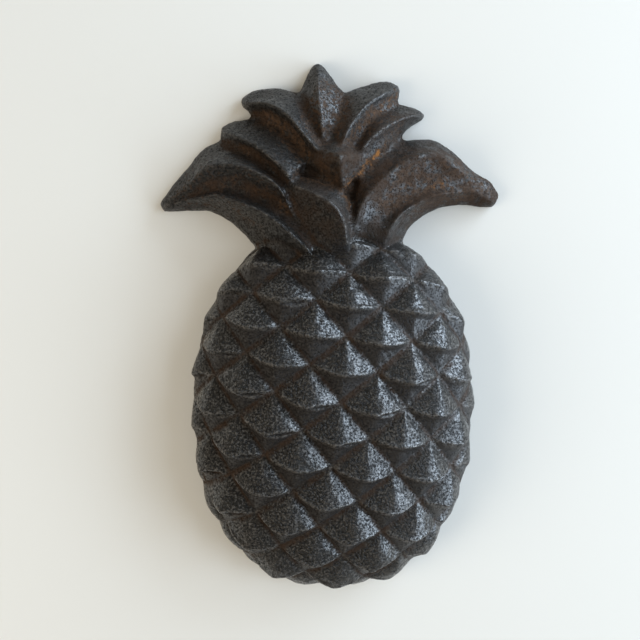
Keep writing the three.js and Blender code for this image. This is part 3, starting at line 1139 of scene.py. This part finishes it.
@dataclass(frozen=True)
class WornIron:
    """Thin black paint over sand-cast iron, dirty and rusty in its grooves, with painted highlights on its
    crests and lips, painted glints on its grain tops, painted shade in its pits and a painted brown shade
    over the left of its eyes' upper faces.

    The spans named for sand are values of the sand layer, which is 1 where the
    skin is roughest and 0 where it is smooth, and the least of an effect is its
    share at the smooth end.
    """

    name: str = "worn_black_iron"
    paint: Colour = (0.004, 0.003, 0.0021)
    faded: Colour = (0.0085, 0.0062, 0.004)
    # Iron colour for the crests and lips: paint rubbed off there, and a painted highlight along them.
    bare_and_highlight: Colour = (0.09, 0.08, 0.07)
    glint: Colour = (0.2, 0.2, 0.2)
    glint_metal: float = 0.4
    least_metal: float = 0.3
    metal_sand: Span = (0.3, 1.0)
    plain: Colour = (0.0145, 0.0118, 0.0103)
    plain_sand: Span = (0.3, 0.46)
    plain_dull: float = 0.2
    # Tan on the grain tops: settled grime, and a painted glint that lightens the grain on the faces away from
    # the lamps.
    dust_and_painted_glint: Colour = (0.058, 0.04, 0.0225)
    dust_and_painted_glint_share: float = 0.4
    unpatched_dust_and_painted_glint: float = 0.55
    least_dust_and_painted_glint: float = 0.1
    dust_and_painted_glint_sand: Span = (0.65, 1.0)
    # Near black in the pits between the grains: dirt, and painted shade that darkens the grain.
    pit_dirt_and_shade_colour: Colour = (0.0028, 0.0022, 0.0018)
    pit_dirt_and_shade: float = 0.9
    least_pits: float = 0.5
    pit_dull: float = 0.4
    # Brown dirt in the grooves; over the left of the eyes' upper faces it is also a painted brown shade.
    dirt: Colour = (0.033, 0.0178, 0.0094)
    dirtiness: float = 0.88
    rust: Colour = (0.3, 0.115, 0.022)
    deep_rust: Colour = (0.052, 0.029, 0.016)
    rust_blobs: float = 0.5
    rust_detail: float = 3.0
    bright_rust: Span = (1.12, 1.6)
    wear_and_highlight: float = 0.8
    gloss: Span = (0.23, 0.31)
    dull: float = 0.8
    grains: float = 1.05
    bump: float = 0.42 * MM
    least_grain: float = 0.2
    glaze: float = 0.43
    least_glaze: float = 0.2
    glaze_sand: Span = (0.2, 1.0)
    glaze_roughness: float = 0.36
    specular: float = 0.36

    def material(self, grain: bpy.types.NodeTree, weathering: bpy.types.NodeTree) -> bpy.types.Material:
        """Builds the finish.

        Args:
            grain: The sand grain group.
            weathering: The weathering group.

        Returns:
            The new material.
        """
        material = bpy.data.materials.new(self.name)
        material.use_nodes = True
        material.node_tree.nodes.clear()
        sheet = NodeSheet(material.node_tree)
        skin = self.read_skin(sheet, grain, weathering)
        metal = sheet.ramp(
            skin.layers[Layer.SAND], self.metal_sand, self.least_metal * self.glint_metal, self.glint_metal
        )
        metal = sheet.combine("MULTIPLY", sheet.combine("MULTIPLY", skin.sand["Glints"], skin.clean), metal)
        shader = sheet.add("ShaderNodeBsdfPrincipled", {
            "Base Color": self.colour(sheet, skin, metal),
            "Roughness": self.roughness(sheet, skin),
            "Metallic": metal,
            "Specular IOR Level": self.specular,
            "Coat Weight": self.coat(sheet, skin),
            "Coat Roughness": self.glaze_roughness,
            "Normal": self.relief(sheet, skin),
        })
        sheet.add("ShaderNodeOutputMaterial", {"Surface": shader.outputs[0]})
        return material

    def read_skin(self, sheet: NodeSheet, grain: bpy.types.NodeTree, weathering: bpy.types.NodeTree) -> Skin:
        """Reads the place and the casting's masks, and places the two groups.

        Args:
            sheet: The material's sheet.
            grain: The sand grain group.
            weathering: The weathering group.

        Returns:
            The sockets that the finish is mixed from.
        """
        metres = sheet.add("ShaderNodeTexCoord").outputs["Object"]
        feeds = {0: metres, 1: (1 / MM,) * 3}
        place = sheet.add("ShaderNodeVectorMath", feeds, operation="MULTIPLY").outputs[0]
        masks = {layer: sheet.add("ShaderNodeAttribute", attribute_name=layer.value) for layer in Layer}
        layers = {layer: mask.outputs["Fac"] for layer, mask in masks.items()}
        sand = sheet.add("ShaderNodeGroup", {"Place": place, "Grains": self.grains}, node_tree=grain).outputs
        weather = sheet.add("ShaderNodeGroup", {
            "Place": place,
            "Groove": layers[Layer.GROOVE],
            "Crest": layers[Layer.CREST],
            "Rust": layers[Layer.RUST],
            "Wear and highlight": self.wear_and_highlight,
            "Dirt": self.dirtiness,
        }, node_tree=weathering).outputs
        stained = sheet.combine("MAXIMUM", weather["Dirty"], weather["Rusty"])
        clean = sheet.combine("SUBTRACT", 1.0, stained, clamp=True)
        return Skin(place, layers, sand, weather, stained, clean)

    def colour(self, sheet: NodeSheet, skin: Skin, metal: bpy.types.NodeSocket) -> bpy.types.NodeSocket:
        """Mixes the colour: paint, tan grain tops of grime and painted glint, iron-coloured lips of rubbed
        paint and painted highlight, metal glints, pits of dirt and painted shade, dirt and rust in turn.

        Args:
            sheet: The material's sheet.
            skin: What it tells of each place.
            metal: Where the grains glint.

        Returns:
            The colour.
        """
        rough = skin.layers[Layer.SAND]
        coat = sheet.mix(skin.sand["Patches"], self.paint, self.faded)
        coat = sheet.mix(sheet.ramp(rough, self.plain_sand, 1.0, 0.0), coat, self.plain)
        # Tan grain tops: settled grime and a painted glint, most on the roughest skin.
        least = self.unpatched_dust_and_painted_glint * self.dust_and_painted_glint_share
        dusty_and_painted_glint = sheet.ramp(skin.sand["Patches"], (0.0, 1.0), least, self.dust_and_painted_glint_share)
        dusty_and_painted_glint = sheet.combine("MULTIPLY", dusty_and_painted_glint, sheet.ramp(rough, self.dust_and_painted_glint_sand, self.least_dust_and_painted_glint))
        dusty_and_painted_glint = sheet.combine("MULTIPLY", dusty_and_painted_glint, skin.sand["Glints"])
        coat = sheet.mix(dusty_and_painted_glint, coat, self.dust_and_painted_glint)
        # Crests and lips turn to iron colour: rubbed paint and a painted highlight.
        coat = sheet.mix(skin.weather["Bare and highlight"], coat, self.bare_and_highlight)
        coat = sheet.mix(metal, coat, self.glint)
        # Darker pits: dirt and painted shade.
        pitted = sheet.combine("MULTIPLY", skin.sand["Pits"], self.pit_dirt_and_shade)
        pitted = sheet.combine("MULTIPLY", pitted, sheet.ramp(rough, (0.0, 1.0), self.least_pits))
        coat = sheet.mix(pitted, coat, self.pit_dirt_and_shade_colour)
        coat = sheet.mix(skin.weather["Dirty"], coat, self.dirt)
        blobs = sheet.noise(skin.place, self.rust_blobs, self.rust_detail)
        rust_depth = sheet.combine("ADD", blobs, skin.layers[Layer.RUST])
        rust = sheet.mix(sheet.ramp(rust_depth, self.bright_rust), self.deep_rust, self.rust)
        return sheet.mix(skin.weather["Rusty"], coat, rust)

    def roughness(self, sheet: NodeSheet, skin: Skin) -> bpy.types.NodeSocket:
        """Adds up the roughness of the paint, of dirt and rust, of smooth skin and of pits.

        Args:
            sheet: The material's sheet.
            skin: What it tells of each place.

        Returns:
            The roughness.
        """
        stained = sheet.ramp(skin.stained, (0.0, 1.0), 0.0, self.dull - self.gloss[1])
        smooth = sheet.ramp(skin.layers[Layer.SAND], (0.0, 1.0), self.plain_dull, 0.0)
        pitted = sheet.combine("MULTIPLY", skin.sand["Pits"], self.pit_dull)
        rough = sheet.ramp(skin.sand["Patches"], (0.0, 1.0), *self.gloss)
        for more in (stained, smooth, pitted):
            rough = sheet.combine("ADD", rough, more, clamp=True)
        return rough

    def relief(self, sheet: NodeSheet, skin: Skin) -> bpy.types.NodeSocket:
        """Raises the grain, most where the skin is roughest.

        Args:
            sheet: The material's sheet.
            skin: What it tells of each place.

        Returns:
            The normal.
        """
        share = sheet.ramp(skin.layers[Layer.SAND], (0.0, 1.0), self.least_grain)
        height = sheet.combine("MULTIPLY", skin.sand["Height"], share)
        feeds = {"Strength": 1.0, "Distance": self.bump, "Height": height}
        return sheet.add("ShaderNodeBump", feeds).outputs["Normal"]

    def coat(self, sheet: NodeSheet, skin: Skin) -> bpy.types.NodeSocket:
        """Glazes the tops of the grains where they are clean.

        Args:
            sheet: The material's sheet.
            skin: What it tells of each place.

        Returns:
            The weight of the glaze.
        """
        tops = sheet.combine("SUBTRACT", 1.0, skin.sand["Pits"], clamp=True)
        least = self.least_glaze * self.glaze
        glaze = sheet.ramp(skin.layers[Layer.SAND], self.glaze_sand, least, self.glaze)
        return sheet.combine("MULTIPLY", sheet.combine("MULTIPLY", tops, glaze), skin.clean)


@dataclass(frozen=True)
class PaleFloor:
    """The plain pale floor that the casting lies on."""

    name: str = "floor"
    side: float = 6.0
    colour: Colour = (0.67, 0.65, 0.605)
    roughness: float = 0.9

    def build(self) -> bpy.types.Object:
        """Makes the floor at the casting's lowest point, as stage.

        Returns:
            The floor.
        """
        bpy.ops.mesh.primitive_plane_add(size=self.side, location=(0.0, 0.0, CAD_BOX[0].z))
        floor = bpy.context.view_layer.objects.active
        floor.name = self.name
        material = bpy.data.materials.new("pale_floor")
        material.use_nodes = True
        shader = material.node_tree.nodes["Principled BSDF"]
        shader.inputs["Base Color"].default_value = (*self.colour, 1.0)
        shader.inputs["Roughness"].default_value = self.roughness
        floor.data.materials.append(material)
        return floor


@dataclass(frozen=True)
class SoftLamp:
    """A square soft light that looks at the casting from a given side.

    Attributes:
        name: The lamp's name.
        azimuth: Its direction on the floor, in degrees from +X towards +Y.
        elevation: Its height above the floor, in degrees.
        power: In watts.
        colour: The colour of its light.
        side: How wide it is, in metres.
        distance: How far from the casting, in metres.
        mirrored: Whether the iron shows it as a highlight.
    """

    name: str
    azimuth: float
    elevation: float
    power: float
    colour: Colour
    side: float = 0.78
    distance: float = 1.3
    mirrored: bool = True

    def build(self) -> bpy.types.Object:
        """Makes the lamp.

        Returns:
            The lamp, aimed at the middle of the casting.
        """
        azimuth, elevation = math.radians(self.azimuth), math.radians(self.elevation)
        towards = Vector((
            math.cos(azimuth) * math.cos(elevation),
            math.sin(azimuth) * math.cos(elevation),
            math.sin(elevation),
        ))
        data = bpy.data.lights.new(self.name, "AREA")
        data.shape = "SQUARE"
        data.size = self.side
        data.energy = self.power
        data.color = self.colour
        lamp = bpy.data.objects.new(self.name, data)
        bpy.context.scene.collection.objects.link(lamp)
        lamp.visible_camera = False
        lamp.visible_glossy = self.mirrored
        lamp.location = towards * self.distance
        lamp.rotation_euler = (-towards).to_track_quat("-Z", "Y").to_euler()
        return lamp


DAYLIGHT: Colour = (0.68, 0.83, 1.0)
WARM_WHITE: Colour = (1.0, 0.94, 0.84)

STUDIO_LAMPS: tuple[SoftLamp, ...] = (
    SoftLamp("low_key", -20.0, 18.0, 15.5, DAYLIGHT),
    SoftLamp("key", 10.0, 35.0, 9.5, DAYLIGHT),
    SoftLamp("high_key", 38.0, 14.0, 22.5, DAYLIGHT),
    SoftLamp("fill", 195.0, 30.0, 12.0, WARM_WHITE, side=0.8, mirrored=False),
)


@dataclass(frozen=True)
class ViewingCamera:
    """The camera at the photograph's viewing angle, above the lying casting.

    Attributes:
        focal_px: The focal length, in pixels of the picture.
        image_px: The picture's width, in pixels.
        sensor: The width of the sensor, in millimetres.
        distance: How far the aimed point is.
        pitch: How far it leans towards the crown, in degrees.
        roll: How far the picture is turned, in degrees.
        aim: The point that it is set by.
        aim_px: Where that point falls in the picture.
        clip: The nearest and the farthest distance that it sees.
    """

    focal_px: float = 772.0
    image_px: float = 640.0
    sensor: float = 36.0
    distance: float = 378.6 * MM
    pitch: float = 4.0
    roll: float = 2.0
    aim: Place = (-2.0 * MM, 2.4 * MM, 0.0)
    aim_px: tuple[float, float] = (329.25, 322.0)
    clip: Span = (0.02, 20.0)

    def build(self) -> bpy.types.Object:
        """Makes the camera and hands it to the scene.

        Returns:
            The camera.
        """
        pitch, roll = math.radians(self.pitch), math.radians(self.roll)
        back = Vector((0.0, math.sin(pitch), math.cos(pitch)))
        level = Vector((0.0, 1.0, 0.0)).cross(back).normalized()
        upright = back.cross(level)
        right = level * math.cos(roll) - upright * math.sin(roll)
        up = level * math.sin(roll) + upright * math.cos(roll)
        middle = self.image_px / 2
        across = (self.aim_px[0] - middle) / self.focal_px * self.distance
        down = (self.aim_px[1] - middle) / self.focal_px * self.distance
        data = bpy.data.cameras.new("camera")
        data.sensor_width = self.sensor
        data.lens = self.focal_px / self.image_px * self.sensor
        data.clip_start, data.clip_end = self.clip
        camera = bpy.data.objects.new("camera", data)
        bpy.context.scene.collection.objects.link(camera)
        camera.matrix_world = Matrix.Translation(
            Vector(self.aim) + back * self.distance - right * across + up * down
        ) @ Matrix((right, up, back)).transposed().to_4x4()
        bpy.context.scene.camera = camera
        return camera


@dataclass(frozen=True)
class Studio:
    """The room light, the lamps, the floor and the camera."""

    room_colour: Colour = (1.0, 0.92, 0.77)
    room_strength: float = 0.36
    lamps: tuple[SoftLamp, ...] = STUDIO_LAMPS
    floor: PaleFloor = PaleFloor()
    camera: ViewingCamera = ViewingCamera()

    def build(self) -> None:
        """Makes everything around the casting."""
        scene = bpy.context.scene
        scene.view_settings.view_transform = "Standard"
        world = bpy.data.worlds.new("room")
        world.use_nodes = True
        sky = world.node_tree.nodes["Background"]
        sky.inputs["Color"].default_value = (*self.room_colour, 1.0)
        sky.inputs["Strength"].default_value = self.room_strength
        scene.world = world
        self.camera.build()
        self.floor.build()
        for lamp in self.lamps:
            lamp.build()
        log.info("studio: %d lamps", len(self.lamps))


def main() -> None:
    """Builds the studio and the casting, in that order."""
    logging.basicConfig(level=logging.INFO, format="%(name)s %(message)s")
    Studio().build()
    piece = CastingPiece().build()
    finish = WornIron().material(SandGrain().group(), Weathering().group())
    piece.data.materials.append(finish)
    log.info("finish: %s", finish.name)


if __name__ == "__main__":
    main()
